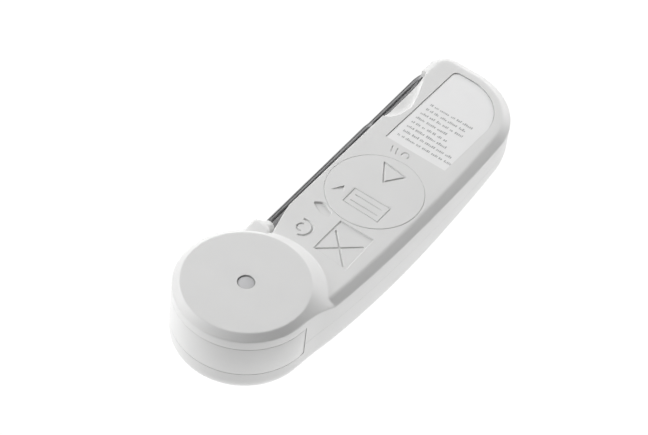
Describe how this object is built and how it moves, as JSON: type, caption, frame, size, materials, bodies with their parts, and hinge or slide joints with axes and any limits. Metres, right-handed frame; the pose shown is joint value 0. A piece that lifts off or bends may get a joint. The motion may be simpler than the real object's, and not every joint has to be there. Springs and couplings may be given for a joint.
{
  "type": "folding probe thermometer",
  "caption": "Pocket digital thermometer with a round hub, a thin steel probe that folds into a slot along its side, a display face and a twist-off battery cover.",
  "frame": {"origin": "where the probe's pivot axis meets the plane of the flat front (display) face", "axes": "+X along the body from the pivot to the far end, +Y towards the folded probe, +Z from the display face to the back, along the pivot axis"},
  "size_m": [0.1091, 0.0352, 0.019],
  "materials": {
    "white_shell": "fine satin moulding texture",
    "label_film": "satin printed film",
    "rubber_seal": "matte",
    "probe_steel": "ground lengthwise",
    "plated_steel": "satin nickel plate",
    "spring_metal": "plated spring strip",
    "bush_brass": "turned",
    "pin_grey": "satin",
    "board_green": "solder resist",
    "black_plastic": "fine matte",
    "display_glass": "satin",
    "window_clear": "polished",
    "red_wire": "smooth sleeve"
  },
  "bodies": {
    "housing": {"front_shell": "white_shell", "back_shell": "white_shell", "rating_label": "label_film", "case_gasket": "rubber_seal", "upper_seal_ring": "rubber_seal", "lower_seal_ring": "rubber_seal", "battery_seal": "rubber_seal", "elastomer_strip_left": "rubber_seal", "elastomer_strip_right": "rubber_seal", "coin_cell_lower": "plated_steel", "coin_cell_upper": "plated_steel", "timing_crystal": "plated_steel", "case_screw_near": "plated_steel", "case_screw_far": "plated_steel", "negative_contact": "spring_metal", "positive_contact": "spring_metal", "friction_washer": "spring_metal", "pivot_pin": "pin_grey", "circuit_board": "board_green", "controller_chip": "black_plastic", "lcd_frame": "black_plastic", "lcd_glass": "display_glass", "reed_switch": "display_glass", "display_window": "window_clear", "sensor_cable": "red_wire"},
    "probe": {"probe_carrier": "white_shell", "carrier_lid": "white_shell", "pivot_bush": "bush_brass", "probe_shaft": "probe_steel", "probe_tip": "probe_steel", "sensor_bead": "black_plastic", "sensor_lead": "red_wire", "shaft_clamp": "bush_brass", "switch_magnet": "plated_steel"},
    "cover": {"battery_cover": "white_shell"}
  },
  "joints": [
    {"name": "probe_fold", "type": "hinge", "parent": "housing", "child": "probe", "pos_m": [0, 0, 0.011], "axis": [0, 0, 1], "range_deg": [0, 180]},
    {"name": "battery_cover_twist", "type": "hinge", "parent": "housing", "child": "cover", "pos_m": [0.0432, -0.0042, 0.0155], "axis": [0, 0, 1], "range_deg": [0, 30]}
  ]
}
